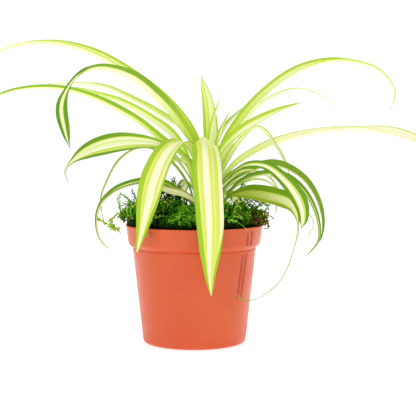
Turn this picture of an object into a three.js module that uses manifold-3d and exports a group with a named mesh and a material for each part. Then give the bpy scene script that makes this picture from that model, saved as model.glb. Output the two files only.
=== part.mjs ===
// Potted spider plant: a ribbon-leaved house plant in a plastic nursery pot, topped with moss.
// Millimetres, +Z up. The origin is the centre of the pot's underside, on the pot's axis.
// +X is the plant's right-hand side and -Y is its front.

import * as THREE from 'three';
import { mergeVertices } from 'three/addons/utils/BufferGeometryUtils.js';
import Module from 'manifold-3d';

const wasm = await Module();
wasm.setup();

// ---- Driving dimensions -------------------------------------------------------------------

const GAP = 0.3; // clearance kept between pieces that touch

const POT = {
  height: 90,
  rimRadius: 52.5,
  collarRadius: 50.6, // at the collar's lower edge
  collarDepth: 14.5,
  shoulderDrop: 2.6, // the slope from the collar in to the body
  bodyRadius: 47.4, // at the top of the body
  baseRadius: 39.8,
  footRound: 2.2,
  wall: 1.4,
  floor: 1.8,
  turns: 56, // facets round the pot
};
const DRAIN = { count: 6, radius: 3.5, ring: 24 };
const SEAM = { width: 1.1, proud: 0.5, top: 68, bottom: 36, bearings: [-44, -39] };
const NUB = { radius: 1.6, proud: 0.3, bearing: 233, height: 83 };

const SOIL = { edgeHeight: 83, moundHeight: 87 };
const CROWN = {
  x: 11,
  y: 0,
  foot: 79,
  footRadius: 10.4,
  shoulder: 99,
  neck: 116,
  neckRadius: 4.2,
  top: 121,
  tipRadius: 2,
};

// Rings of leaf bases round the crown, from the oldest leaves at the bottom to the youngest.
const TIERS = [
  { height: 96, radius: 11.4, breadth: 6.6 },
  { height: 103, radius: 9.6, breadth: 6.0 },
  { height: 109, radius: 7.9, breadth: 5.4 },
  { height: 114, radius: 6.0, breadth: 4.6 },
  { height: 121.6, radius: 2.2, breadth: 2.6 },
];

const LEAF = {
  thickness: 1.0,
  tipHalfBreadth: 0.45,
  baseFold: 14, // degrees that each half of the blade stands up at the crown
  openBy: 0.28, // share of the length over which the base opens to the full blade
  narrowFrom: 0.28, // share of the length where the blade starts to narrow to its tip
  stepLength: 8.5,
};

// ---- Colours ------------------------------------------------------------------------------

const COLOURS = {
  pot: 0xe0704b,
  soil: 0x2b2317,
  moss: 0x3f7a22,
  darkMoss: 0x24400f,
  bark: 0x5f3f1f,
  crown: 0xd9e0a8,
  young: 0xc4e06a,
  mature: 0x8fb55a,
  pale: 0xe3eab4,
  old: 0xd8cfa8,
};

function finish(colour, roughness) {
  return new THREE.MeshStandardMaterial({ color: colour, roughness, metalness: 0 });
}

// ---- Solid helpers ------------------------------------------------------------------------

function welded(geometry) {
  const bare = geometry.clone();
  bare.deleteAttribute('normal');
  bare.deleteAttribute('uv');
  return mergeVertices(bare, 1e-4);
}

function toManifold(geometry) {
  const merged = welded(geometry);
  return new wasm.Manifold(new wasm.Mesh({
    numProp: 3,
    vertProperties: new Float32Array(merged.attributes.position.array),
    triVerts: new Uint32Array(merged.index.array),
  }));
}

function fromManifold(solid) {
  const mesh = solid.getMesh();
  const geometry = new THREE.BufferGeometry();
  geometry.setAttribute('position', new THREE.BufferAttribute(mesh.vertProperties, 3));
  geometry.setIndex(new THREE.BufferAttribute(mesh.triVerts, 1));
  return geometry;
}

// Turns a profile of [radius, height] points about the Z axis.
function turned(profile, facets) {
  const points = profile.map(([radius, height]) => new THREE.Vector2(radius, height));
  return new THREE.LatheGeometry(points, facets).rotateX(Math.PI / 2);
}

function radians(degrees) {
  return THREE.MathUtils.degToRad(degrees);
}

function onBearing(degrees, radius, height) {
  const angle = radians(degrees);
  return new THREE.Vector3(radius * Math.cos(angle), radius * Math.sin(angle), height);
}

// Reads evenly spaced key values at t from 0 to 1, easing from each to the next.
function keyed(values, t) {
  const place = Math.min(t, 0.99999) * (values.length - 1);
  const index = Math.floor(place);
  const ease = THREE.MathUtils.smoothstep(place - index, 0, 1);
  return THREE.MathUtils.lerp(values[index], values[index + 1], ease);
}

// Reads evenly spaced key values at t from 0 to 1, straight from each to the next.
function evenly(values, t) {
  const place = Math.min(t, 0.99999) * (values.length - 1);
  const index = Math.floor(place);
  return THREE.MathUtils.lerp(values[index], values[index + 1], place - index);
}

// ---- Pot ----------------------------------------------------------------------------------

function bodyRadiusAt(height) {
  const shoulder = POT.height - POT.collarDepth - POT.shoulderDrop;
  return THREE.MathUtils.mapLinear(height, 0, shoulder, POT.baseRadius, POT.bodyRadius);
}

function potProfile() {
  const collarFoot = POT.height - POT.collarDepth;
  const shoulder = collarFoot - POT.shoulderDrop;
  const inner = (height) => bodyRadiusAt(height) - POT.wall;
  return [
    [0, 0],
    [POT.baseRadius - POT.footRound, 0],
    [POT.baseRadius - 0.3 * POT.footRound, 0.35 * POT.footRound],
    [bodyRadiusAt(POT.footRound), POT.footRound],
    [POT.bodyRadius, shoulder],
    [POT.collarRadius, collarFoot - 0.6],
    [POT.collarRadius + 0.1, collarFoot + 0.4],
    [POT.rimRadius - 0.3, POT.height - 1.8],
    [POT.rimRadius, POT.height - 1.4],
    [POT.rimRadius, POT.height - 0.3],
    [POT.rimRadius - 0.3, POT.height],
    [POT.rimRadius - POT.wall, POT.height],
    [POT.collarRadius - POT.wall + 0.1, collarFoot],
    [inner(shoulder - 1), shoulder - 1],
    [inner(POT.floor), POT.floor],
    [0, POT.floor],
  ];
}

function drainHole(index) {
  const hole = new THREE.CylinderGeometry(DRAIN.radius, DRAIN.radius, 6, 18).rotateX(Math.PI / 2);
  const centre = onBearing((360 * (index + 0.5)) / DRAIN.count, DRAIN.ring, 0);
  return toManifold(hole.translate(centre.x, centre.y, centre.z));
}

// A moulding seam: a slim strip on the body's slope, its inner face sunk in the wall.
function seamStrip(bearing) {
  const slope = Math.atan2(bodyRadiusAt(SEAM.top) - bodyRadiusAt(SEAM.bottom), SEAM.top - SEAM.bottom);
  const middle = (SEAM.top + SEAM.bottom) / 2;
  const strip = new THREE.BoxGeometry(2 * SEAM.proud, SEAM.width, SEAM.top - SEAM.bottom);
  strip.rotateY(slope).translate(bodyRadiusAt(middle), 0, middle).rotateZ(radians(bearing));
  return toManifold(strip);
}

function mouldingNub() {
  const nub = new THREE.CylinderGeometry(NUB.radius, NUB.radius, 2 * NUB.proud, 16).rotateZ(Math.PI / 2);
  nub.translate(POT.rimRadius - 0.9, 0, NUB.height).rotateZ(radians(NUB.bearing));
  return toManifold(nub);
}

function potGeometry() {
  let pot = toManifold(turned(potProfile(), POT.turns));
  for (let index = 0; index < DRAIN.count; index += 1) {
    pot = pot.subtract(drainHole(index));
  }
  for (const bearing of SEAM.bearings) {
    pot = pot.add(seamStrip(bearing));
  }
  return fromManifold(pot.add(mouldingNub()));
}

// ---- Soil and crown -----------------------------------------------------------------------

function soilTopAt(radius) {
  return THREE.MathUtils.mapLinear(radius, 0, POT.rimRadius, SOIL.moundHeight, SOIL.edgeHeight);
}

// The root ball fills the pot and has a socket that the crown stands in.
function soilGeometry() {
  const inner = (height) => bodyRadiusAt(height) - POT.wall - GAP;
  const shoulder = POT.height - POT.collarDepth - POT.shoulderDrop;
  const edge = POT.collarRadius - POT.wall - GAP;
  const ball = turned([
    [0, POT.floor + GAP],
    [inner(POT.floor + GAP), POT.floor + GAP],
    [inner(shoulder - 1), shoulder - 1],
    [edge, POT.height - POT.collarDepth + GAP],
    [edge + 0.4, soilTopAt(edge)],
    [0, SOIL.moundHeight],
  ], POT.turns);
  const socket = new THREE.CylinderGeometry(CROWN.footRadius + GAP, CROWN.footRadius + GAP, 20, 28);
  socket.rotateX(Math.PI / 2).translate(CROWN.x, CROWN.y, CROWN.foot - GAP + 10);
  return fromManifold(toManifold(ball).subtract(toManifold(socket)));
}

function crownGeometry() {
  return turned([
    [0, CROWN.foot],
    [CROWN.footRadius - 1, CROWN.foot],
    [CROWN.footRadius, CROWN.foot + 1],
    [CROWN.footRadius, CROWN.shoulder],
    [CROWN.neckRadius, CROWN.neck],
    [CROWN.tipRadius, CROWN.top],
    [0, CROWN.top],
  ], 24).translate(CROWN.x, CROWN.y, 0);
}

// ---- Leaves -------------------------------------------------------------------------------

// Each leaf leaves the crown on its tier at a bearing (degrees, anticlockwise from +X seen from
// above) and then follows its course. breadth is the blade laid flat at its widest, fold is how
// many degrees each half stands up from the midrib (one value, or several at even steps from base
// to tip), turn rolls the blade about its course at even steps, and a larger tip draws it out more
// finely. Where a blade has a pinch, a whip-like end or a blunt shoulder, widths gives its breadth
// at even steps, as shares of the full breadth, instead of openBy, narrowFrom and tip. The course
// runs midway between the height of the midrib and that of the margins.
const LEAVES = [
  // Left-hand side
  { name: 'leaf_high_left', tone: 'young', tier: 3, bearing: 150, breadth: 15, fold: 48,
    widths: [0.31, 0.45, 0.68, 0.8, 0.9, 0.96, 0.88, 0.7, 0.46, 0.21, 0.06], turn: [0, -6, -14, -14, 0],
    course: [[6, 3, 140], [-2, 10, 161], [-18, 18, 182], [-43, 30, 202], [-81, 44, 224],
      [-114, 52, 233], [-148, 56, 230.5], [-178, 56, 214]] },
  { name: 'leaf_left_twisted', tone: 'mature', tier: 3, bearing: 212, breadth: 15, fold: 44,
    widths: [0.3, 0.45, 0.62, 0.77, 0.9, 1, 1, 1, 1, 1, 1, 0.95, 0.85, 0.7, 0.46, 0.25, 0.4, 0.78,
      0.82, 0.5, 0.05],
    turn: [0, 8, 20, 14, 0, -80, -84],
    course: [[2, -4, 146], [-9.5, -10, 165], [-24, -18, 183], [-46.5, -28, 201.3], [-71, -38, 207.3],
      [-85, -46, 198.5], [-94, -50, 180], [-92, -51, 163], [-88, -50, 148]] },
  { name: 'leaf_left_slim_back', tone: 'young', tier: 2, bearing: 132, breadth: 10, fold: 45, tip: 0.8,
    turn: [0, -5, -5, 0],
    course: [[4, 11, 143], [-5, 17, 160], [-27, 30, 175], [-49, 44, 187], [-78, 58, 199],
      [-122, 70, 201]] },
  { name: 'leaf_left_middle', tone: 'young', tier: 1, bearing: 178, breadth: 14, fold: 44, tip: 0.9,
    turn: [0, 16, 16, 0],
    course: [[-2, 5, 130], [-15, 9, 157], [-36, 13, 173], [-58, 15, 185], [-76, 16, 191],
      [-94, 18, 196]] },
  { name: 'leaf_left_long', tone: 'mature', tier: 2, bearing: 186, breadth: 12, fold: 44, tip: 1.1,
    turn: [0, 4, 6, 0, 0],
    course: [[0, -4, 134], [-26, -8, 157], [-44, -11, 171], [-75, -13, 187], [-102, -14, 194],
      [-135, -14, 192], [-166, -14, 179]] },
  { name: 'leaf_left_broad', tone: 'mature', tier: 1, bearing: 218, breadth: 16.5, fold: 16,
    widths: [0.34, 0.36, 0.4, 0.42, 0.48, 0.7, 0.92, 1, 0.74, 0.14, 0.05],
    turn: [0, -20, -58, -64, -60, -30],
    course: [[-1, -9, 122], [-12, -15, 139], [-24, -21, 150.5], [-52, -31, 153], [-77, -37, 146.5],
      [-90, -41, 137], [-93, -42, 131], [-91, -42, 124]] },
  { name: 'leaf_left_slim_hanging', tone: 'pale', tier: 0, bearing: 166, breadth: 4.5, fold: 34, tip: 0.8,
    turn: [0, 0, 0],
    course: [[-3, 4, 116], [-16, 8, 136], [-32, 12, 147.5], [-45.5, 15, 148], [-59, 17, 139],
      [-68.5, 18, 123], [-73.5, 18, 108], [-72, 18, 93]] },
  { name: 'leaf_left_low', tone: 'mature', tier: 0, bearing: 206, breadth: 10, fold: 36, tip: 0.9,
    turn: [0, -20, -20, 0, 0],
    course: [[-5, -7, 110], [-20, -12, 121], [-34, -14, 124], [-58, -15, 118], [-71, -14, 106],
      [-74, -13, 93], [-71, -12, 79], [-62, -12, 71]] },
  { name: 'leaf_left_withered', tone: 'old', tier: 0, bearing: 244, breadth: 12.5, fold: 20, tip: 0.5,
    turn: [0, -30, -46],
    course: [[3, -15, 106], [-8, -18, 113.5], [-18, -23, 116.5], [-27, -28, 119.5]] },

  // Front
  { name: 'leaf_front_left', tone: 'young', tier: 2, bearing: 240, breadth: 21, fold: 14,
    widths: [0.26, 0.32, 0.4, 0.6, 0.92, 1, 1, 0.92, 0.69, 0.36, 0.03], turn: [0, 0, -16, -28, -28],
    course: [[4, -12, 133], [-2, -17, 148], [-9, -25, 154], [-19, -35, 147], [-28, -43, 129],
      [-33, -47, 109], [-37, -50, 90], [-41.2, -51, 72]] },
  { name: 'leaf_front', tone: 'young', tier: 3, bearing: 270, breadth: 22,
    widths: [0.21, 0.3, 0.52, 0.97, 1, 0.97, 0.93, 0.9, 0.73, 0.38, 0.02],
    fold: [14, 0, -42, -30, -10, 6, 10, 10, 10], turn: [0, 0, -4, 0, 0],
    course: [[11, -10, 132], [10, -17, 147], [7, -31, 154], [9, -47, 146.5], [10, -56, 128],
      [12, -60, 94], [12, -61, 73], [12, -60, 55], [13, -59, 41.5]] },

  // Young centre
  { name: 'leaf_centre', tone: 'young', tier: 4, bearing: 102, breadth: 16, fold: 34,
    widths: [0.16, 0.3, 0.5, 0.8, 1, 1, 0.96, 0.86, 0.7, 0.44, 0.04], turn: [0, -60, -70],
    course: [[13.5, 9.5, 146], [13.5, 10.5, 165], [10.5, 11, 187], [5, 12, 204]] },
  { name: 'leaf_centre_right', tone: 'young', tier: 4, bearing: 288, breadth: 9, fold: 46, tip: 1,
    turn: [0, 20, 20],
    course: [[11, -5, 146], [13, -6, 166], [19, -5, 185]] },
  { name: 'leaf_centre_small', tone: 'young', tier: 4, bearing: 17, breadth: 7, fold: 44, tip: 0.9,
    turn: [0, 0, 0],
    course: [[16, 1, 144], [19, 1, 160], [27, 2, 176]] },

  // Right-hand side
  { name: 'leaf_high_right', tone: 'young', tier: 3, bearing: 28, breadth: 13, fold: 44,
    widths: [0.35, 0.54, 0.87, 1, 0.98, 0.92, 0.82, 0.58, 0.34, 0.2, 0.06], turn: [0, 16, 24, 6, 0],
    course: [[20, 6, 143], [33, 14, 166], [54, 24, 190], [86, 38, 212], [120, 50, 219],
      [152, 58, 210], [163.5, 60, 192.5], [159, 60, 178]] },
  { name: 'leaf_right_short', tone: 'young', tier: 3, bearing: 84, breadth: 9, fold: 40, tip: 0.9,
    turn: [0, 0, 0],
    course: [[15, 15, 144], [24, 24, 165], [38, 32, 180]] },
  { name: 'leaf_right_slim_back', tone: 'pale', tier: 2, bearing: 70, breadth: 10.5, fold: 34,
    widths: [0.34, 0.6, 0.9, 1, 0.9, 0.66, 0.5, 0.4, 0.32, 0.2, 0.06], turn: [0, 14, 10, 0],
    course: [[23.5, 14, 142], [38, 30, 168], [57, 45, 186], [84, 62, 196.5], [106, 71, 190],
      [114, 75, 183.5]] },
  { name: 'leaf_right_pointed', tone: 'young', tier: 3, bearing: 336, breadth: 15.5, fold: 34, tip: 1,
    openBy: 0.34, turn: [0, 40, 44, 24],
    course: [[18, -8, 139], [24, -12, 150], [35, -17, 160.5], [50, -23, 170], [65, -29, 177.5],
      [79, -33, 182]] },
  { name: 'leaf_right_bent', tone: 'pale', tier: 2, bearing: 328, breadth: 8, fold: 40, tip: 0.8,
    turn: [0, 14, 0, 0],
    course: [[21, -4, 130], [31, -1, 148], [39, 2, 158], [49, 4, 165], [60, 7, 154], [69, 10, 140],
      [74, 11, 127]] },
  { name: 'leaf_right_long', tone: 'pale', tier: 2, bearing: 18, breadth: 15, fold: 32,
    widths: [0.35, 0.5, 0.72, 0.88, 1, 1, 1, 1, 1, 0.8, 0.1], turn: [0, 20, 10, 4, 36, 40],
    course: [[27, 11, 131], [52, 18, 148], [85, 24, 159], [119, 30, 163], [152, 34, 161],
      [180, 36, 153], [208, 38, 142]] },
  { name: 'leaf_right_outer', tone: 'mature', tier: 1, bearing: 12, breadth: 13, fold: 48, tip: 0.9,
    turn: [0, 0, 0, 0],
    course: [[24, 3, 120], [41, 3, 132], [63, 2, 137], [84, 1, 126], [96, 0, 107], [99, -1, 88],
      [96, -1, 75]] },
  { name: 'leaf_right_striped', tone: 'mature', tier: 1, bearing: 324, breadth: 14.5, fold: 16,
    widths: [0.4, 0.45, 0.5, 0.5, 0.5, 0.54, 0.66, 0.8, 0.9, 0.78, 0.25],
    turn: [0, 24, 44, 44, 34],
    course: [[22, -8, 124], [29, -11, 130], [40, -17, 136], [54, -24, 135], [67, -30, 125],
      [76, -34, 113], [80, -37, 101], [79, -38, 90]] },
  { name: 'leaf_right_stub', tone: 'old', tier: 0, bearing: 288, breadth: 11, fold: 24, tip: 0.7,
    turn: [0, 20, 40],
    course: [[16, -16, 112], [24, -23, 124], [34, -29, 131], [45, -34, 133]] },
  { name: 'leaf_right_low', tone: 'mature', tier: 0, bearing: 326, breadth: 16, fold: 16,
    widths: [0.4, 0.45, 0.6, 0.86, 1.06, 1.1, 1.05, 0.98, 0.85, 0.22, 0.14, 0.13, 0.13, 0.13, 0.13,
      0.13, 0.12, 0.11, 0.1, 0.08, 0.05],
    turn: [0, 36, 52, 14, 0, 0],
    course: [[24, -9, 110], [37, -12.5, 114.8], [58, -18.5, 112.4], [72, -22, 106.8], [77, -28, 93],
      [73, -36, 74], [63, -42, 52], [48, -44, 40], [36, -43, 38], [30, -42, 45]] },
  { name: 'leaf_right_inner', tone: 'mature', tier: 0, bearing: 3, breadth: 10, fold: 34, tip: 0.9,
    turn: [0, 10, 14, 14],
    course: [[25, -1, 112], [40, -5, 126], [65, -9, 129], [82, -13, 117], [93, -15, 95],
      [93, -16, 78], [83, -16, 66]] },
  { name: 'leaf_right_kinked', tone: 'pale', tier: 0, bearing: 30, breadth: 5, fold: 30, tip: 0.8,
    turn: [0, 10, 0],
    course: [[24, 10, 116], [51, 11, 128], [76, 12, 119], [88, 12, 99], [93, 12, 88],
      [85, 12, 77]] },
  { name: 'leaf_right_pale', tone: 'pale', tier: 1, bearing: 54, breadth: 6, fold: 30, tip: 0.8,
    turn: [0, 10, 10],
    course: [[20, 15, 115], [32, 19, 124], [47, 22, 130], [59, 25, 125], [65, 27, 115],
      [64, 28, 94]] },
  { name: 'leaf_right_arc', tone: 'pale', tier: 0, bearing: 56, breadth: 5, fold: 30, tip: 0.8,
    turn: [0, 10, 10],
    course: [[20, 13, 108], [33, 14, 119], [49, 15, 124], [59, 17, 121], [67, 19, 112]] },

  // Back
  { name: 'leaf_back', tone: 'young', tier: 1, bearing: 95, breadth: 15, fold: 20, tip: 0.8,
    turn: [0, 0, 0],
    course: [[10, 14, 128], [9, 24, 144], [8, 42, 149], [6, 62, 138], [3, 76, 112], [1, 82, 84]] },
  { name: 'leaf_back_left', tone: 'mature', tier: 1, bearing: 138, breadth: 13, fold: 26, tip: 0.9,
    turn: [0, 0, 0],
    course: [[1, 12, 122], [-5, 24, 136], [-18, 44, 138], [-34, 64, 120], [-44, 78, 92],
      [-46, 84, 66]] },
  { name: 'leaf_back_low', tone: 'mature', tier: 0, bearing: 128, breadth: 12, fold: 22, tip: 0.9,
    turn: [0, 0, 0],
    course: [[4, 16, 112], [-3, 30, 122], [-10, 50, 116], [-14, 66, 94], [-14, 70, 70]] },
  { name: 'leaf_back_right', tone: 'mature', tier: 0, bearing: 90, breadth: 13, fold: 24, tip: 0.9,
    turn: [0, 0, 0],
    course: [[14, 18, 107], [20, 32, 113], [31, 50, 108], [41, 64, 88], [45, 70, 64]] },
];

// The course begins on the crown: at the tier's seat, then a short way up along the crown.
function leafLine(leaf) {
  const tier = TIERS[leaf.tier];
  const axis = new THREE.Vector3(CROWN.x, CROWN.y, 0);
  const seat = onBearing(leaf.bearing, tier.radius, tier.height).add(axis);
  const rise = onBearing(leaf.bearing, tier.radius + 0.6, tier.height + 5).add(axis);
  const rest = leaf.course.map((point) => new THREE.Vector3(...point));
  return new THREE.CatmullRomCurve3([seat, rise, ...rest], false, 'centripetal');
}

// The level direction that the blade spreads in: square to the seat's bearing at the base, and
// square to the leaf's overall heading further out.
function levelAcross(leaf, line, t) {
  const start = line.points[0];
  const reach = line.points.reduce((far, point) => (
    Math.hypot(point.x - start.x, point.y - start.y) > Math.hypot(far.x - start.x, far.y - start.y)
      ? point : far), start);
  const heading = Math.atan2(reach.y - start.y, reach.x - start.x);
  const bearing = radians(leaf.bearing);
  const swing = Math.atan2(Math.sin(heading - bearing), Math.cos(heading - bearing));
  const angle = bearing + swing * THREE.MathUtils.smoothstep(t, 0.04, 0.3);
  return new THREE.Vector3(-Math.sin(angle), Math.cos(angle), 0);
}

// 0 at the clasping base, 1 where the blade has reached its full breadth and fold.
function opening(leaf, t) {
  return THREE.MathUtils.smoothstep(t, 0, leaf.openBy ?? LEAF.openBy);
}

function halfBreadth(leaf, t) {
  if (leaf.widths) return Math.max(LEAF.tipHalfBreadth, (evenly(leaf.widths, t) * leaf.breadth) / 2);
  const base = Math.min(TIERS[leaf.tier].breadth, 0.7 * leaf.breadth);
  const full = THREE.MathUtils.lerp(base, leaf.breadth, opening(leaf, t)) / 2;
  const narrowFrom = leaf.narrowFrom ?? LEAF.narrowFrom;
  const past = Math.max(0, (t - narrowFrom) / (1 - narrowFrom));
  return LEAF.tipHalfBreadth + (full - LEAF.tipHalfBreadth) * (1 - past ** 2.2) ** leaf.tip;
}

// A blade is a flat box, two cells wide, bent along its course: each vertex keeps its share of
// the length, moves out by the half breadth there, and rises with the fold of its half.
function leafGeometry(leaf) {
  const line = leafLine(leaf);
  const steps = Math.max(8, Math.ceil(line.getLength() / LEAF.stepLength));
  const blade = new THREE.BoxGeometry(2, 1, 1, 2, steps, 1);
  const place = blade.attributes.position;
  for (let index = 0; index < place.count; index += 1) {
    const side = place.getX(index);
    const t = THREE.MathUtils.clamp(place.getY(index) + 0.5, 0, 1);
    const along = line.getTangentAt(t);
    const across = levelAcross(leaf, line, t);
    across.addScaledVector(along, -across.dot(along)).normalize();
    const up = new THREE.Vector3().crossVectors(along, across);
    const roll = radians(keyed(leaf.turn, t));
    const spread = across.clone().multiplyScalar(Math.cos(roll)).addScaledVector(up, Math.sin(roll));
    const face = up.clone().multiplyScalar(Math.cos(roll)).addScaledVector(across, -Math.sin(roll));
    const fold = radians(Array.isArray(leaf.fold) ? keyed(leaf.fold, t)
      : THREE.MathUtils.lerp(LEAF.baseFold, leaf.fold, opening(leaf, t)));
    const half = halfBreadth(leaf, t);
    const lift = (Math.abs(side) - 0.5) * half * Math.sin(fold) - place.getZ(index) * LEAF.thickness;
    const point = line.getPointAt(t);
    point.addScaledVector(spread, side * half * Math.cos(fold)).addScaledVector(face, lift);
    place.setXYZ(index, point.x, point.y, point.z);
  }
  return welded(blade);
}

// ---- Moss and bark ------------------------------------------------------------------------

// Cushions of moss lie round the crown, each filling the bearings between from and to (degrees)
// out to its reach, and rising to top. Strands are slim runners that grow out of a cushion, each
// a course from inside it.
const MOSS = [
  { name: 'moss_front', colour: 'moss', from: 237, to: 277, reach: 48, top: 109, strands: [] },
  { name: 'moss_front_left', colour: 'darkMoss', from: 209, to: 237, reach: 47, top: 101, strands: [] },
  { name: 'moss_left', colour: 'moss', from: 159, to: 209, reach: 58, top: 112,
    strands: [
      [[-50, -6, 98], [-58, -8, 102], [-64, -10, 99], [-68, -11, 91], [-66, -11, 84]],
      [[-45, -4, 104], [-52, -5, 112], [-58, -5, 116]],
    ] },
  { name: 'moss_back_left', colour: 'darkMoss', from: 114, to: 159, reach: 48, top: 104, strands: [] },
  { name: 'moss_back', colour: 'moss', from: 68, to: 114, reach: 48, top: 103, strands: [] },
  { name: 'moss_back_right', colour: 'darkMoss', from: 22, to: 68, reach: 48, top: 103, strands: [] },
  { name: 'moss_right', colour: 'moss', from: -24, to: 22, reach: 56, top: 101,
    strands: [
      [[40, -6, 98], [45, -9, 107], [49, -10, 110], [52, -10, 106]],
      [[50, -4, 95], [56, -6, 97], [61, -7, 94]],
      [[38, 5, 98], [39, 6, 112], [42, 6, 119]],
    ] },
  { name: 'moss_front_right', colour: 'moss', from: 277, to: 336, reach: 48, top: 107, strands: [] },
];
const CUSHION = { lip: 2.4, cells: 7, clear: 14.6, lump: 0.16 };
const STRAND_RADIUS = 0.8;
const BARK = { centre: [45, -15, 95], size: [8, 3.4, 2.8], bearing: 110 };

// Smooth lumps: three waves along different directions, about -1 to 1.
function lumps(x, y) {
  return 0.45 * Math.sin(0.52 * x + 0.31 * y)
    + 0.35 * Math.sin(0.47 * y - 0.4 * x + 2)
    + 0.3 * Math.sin(0.61 * x + 0.43 * y + 4);
}

// The lowest that moss may reach: just clear of the soil, and of the rim further out.
function restingHeight(radius) {
  const soil = soilTopAt(Math.min(radius, POT.collarRadius)) + GAP;
  const rim = POT.height + 2 * GAP;
  return THREE.MathUtils.lerp(soil, rim, THREE.MathUtils.smoothstep(radius, 40, 46));
}

// Distance from the pot's axis, along an angle, to the ring that is kept clear for the crown.
function crownEdge(angle) {
  const sideways = CROWN.x * Math.sin(angle);
  return CROWN.x * Math.cos(angle) + Math.sqrt(CUSHION.clear ** 2 - sideways ** 2);
}

// A cushion is a flat box bent round the crown: its lower face lies on the soil and rim, and its
// upper face is a lumpy dome over a thin lip.
function cushionGeometry(clump) {
  const box = new THREE.BoxGeometry(1, 1, 1, CUSHION.cells, CUSHION.cells, 1);
  const place = box.attributes.position;
  for (let index = 0; index < place.count; index += 1) {
    const outward = place.getX(index) + 0.5;
    const round = place.getY(index) + 0.5;
    let angle = radians(THREE.MathUtils.lerp(clump.from, clump.to, round));
    const radius = THREE.MathUtils.lerp(crownEdge(angle), clump.reach, outward);
    angle += ((1 - 2 * round) * GAP) / radius;
    const x = radius * Math.cos(angle);
    const y = radius * Math.sin(angle);
    const rest = restingHeight(radius);
    const dome = (Math.sin(Math.PI * outward) * Math.sin(Math.PI * round)) ** 0.45;
    const rise = (clump.top - rest - CUSHION.lip) * dome * (1 + CUSHION.lump * lumps(x, y));
    place.setXYZ(index, x, y, place.getZ(index) < 0 ? rest : rest + CUSHION.lip + rise);
  }
  return welded(box);
}

function strandSolid(course) {
  const line = new THREE.CatmullRomCurve3(course.map((point) => new THREE.Vector3(...point)));
  const outline = new THREE.Shape().absarc(0, 0, STRAND_RADIUS, 0, 2 * Math.PI);
  const steps = Math.ceil(line.getLength() / 4);
  return toManifold(new THREE.ExtrudeGeometry(outline, { steps, curveSegments: 3, extrudePath: line }));
}

// A chip of bark lies in the moss; clearance widens it to the hollow that it leaves there.
function barkGeometry(clearance = 0) {
  const chip = welded(new THREE.IcosahedronGeometry(1, 2));
  const size = BARK.size.map((half) => half + clearance);
  return chip.scale(...size).rotateZ(radians(BARK.bearing)).translate(...BARK.centre);
}

function mossGeometry(clump) {
  let solid = toManifold(cushionGeometry(clump));
  for (const course of clump.strands) {
    solid = solid.add(strandSolid(course));
  }
  return fromManifold(solid.subtract(toManifold(barkGeometry(GAP + 0.1))));
}

// ---- Assembly -----------------------------------------------------------------------------

const plant = new THREE.Group();

function addPiece(name, geometry, material) {
  const mesh = new THREE.Mesh(geometry, material);
  mesh.name = name;
  plant.add(mesh);
}

addPiece('pot', potGeometry(), finish(COLOURS.pot, 0.45));
addPiece('soil', soilGeometry(), finish(COLOURS.soil, 0.95));
addPiece('crown', crownGeometry(), finish(COLOURS.crown, 0.6));
for (const clump of MOSS) {
  addPiece(clump.name, mossGeometry(clump), finish(COLOURS[clump.colour], 0.95));
}
addPiece('bark_chip', barkGeometry(), finish(COLOURS.bark, 0.95));
for (const leaf of LEAVES) {
  addPiece(leaf.name, leafGeometry(leaf), finish(COLOURS[leaf.tone], 0.45));
}

export default plant;
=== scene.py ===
import math
from itertools import combinations
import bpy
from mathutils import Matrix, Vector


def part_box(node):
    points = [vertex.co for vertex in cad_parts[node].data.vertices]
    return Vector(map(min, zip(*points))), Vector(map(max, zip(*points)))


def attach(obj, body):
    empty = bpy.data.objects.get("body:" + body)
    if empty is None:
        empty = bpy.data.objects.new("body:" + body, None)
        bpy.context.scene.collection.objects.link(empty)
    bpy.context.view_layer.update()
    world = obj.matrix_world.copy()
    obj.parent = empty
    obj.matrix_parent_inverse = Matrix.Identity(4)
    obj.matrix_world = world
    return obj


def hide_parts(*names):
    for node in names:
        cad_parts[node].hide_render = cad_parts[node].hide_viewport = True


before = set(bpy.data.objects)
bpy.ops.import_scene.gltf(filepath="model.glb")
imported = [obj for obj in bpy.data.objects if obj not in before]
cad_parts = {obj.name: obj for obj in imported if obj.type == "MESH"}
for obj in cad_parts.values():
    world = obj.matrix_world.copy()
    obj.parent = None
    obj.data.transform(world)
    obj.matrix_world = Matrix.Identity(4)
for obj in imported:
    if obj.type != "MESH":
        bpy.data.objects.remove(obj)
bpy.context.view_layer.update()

from types import SimpleNamespace

import bmesh
import bpy
import numpy as np
from mathutils import Vector

# Potted spider plant. Metres, +Z up, the pot's underside centred on the origin, -Y in front.
MM = 0.001
TURN = 2 * math.pi
WAVES = 16  # in a rough surface
CORNER_POINTS = 5  # on a rounded corner


# ---- Numbers ----

def ramp(value, low, high):
    """0 below low, 1 above high, and a smooth S between them."""
    share = np.clip((value - low) / (high - low), 0, 1)
    return share * share * (3 - 2 * share)


def unit(vectors):
    """Each vector divided by its length."""
    return vectors / np.maximum(np.linalg.norm(vectors, axis=-1, keepdims=True), 1e-12)


def full_turn(count):
    """That many evenly spaced angles round a full turn."""
    return np.arange(count) / count * TURN


def round_axis(radius, angle, height):
    """Points at a distance from the upright axis, at an angle round it and at a height."""
    x, y = radius * np.cos(angle), radius * np.sin(angle)
    return np.stack(np.broadcast_arrays(x, y, height), axis=-1)


def rough(points, wavelength, seed):
    """Smooth noise of about -1 to 1: the sum of sine waves of near that wavelength, each along
    a random direction with a random phase, over the root of half their number."""
    draw = np.random.default_rng(seed)
    direction = unit(draw.normal(size=(WAVES, 3)))
    number = TURN / (wavelength * draw.uniform(0.65, 1.5, WAVES))
    phase = draw.uniform(0, TURN, WAVES)
    angle = points @ (direction * number[:, None]).T + phase
    return np.sin(angle).sum(axis=-1) / math.sqrt(WAVES / 2) * 0.6


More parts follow.
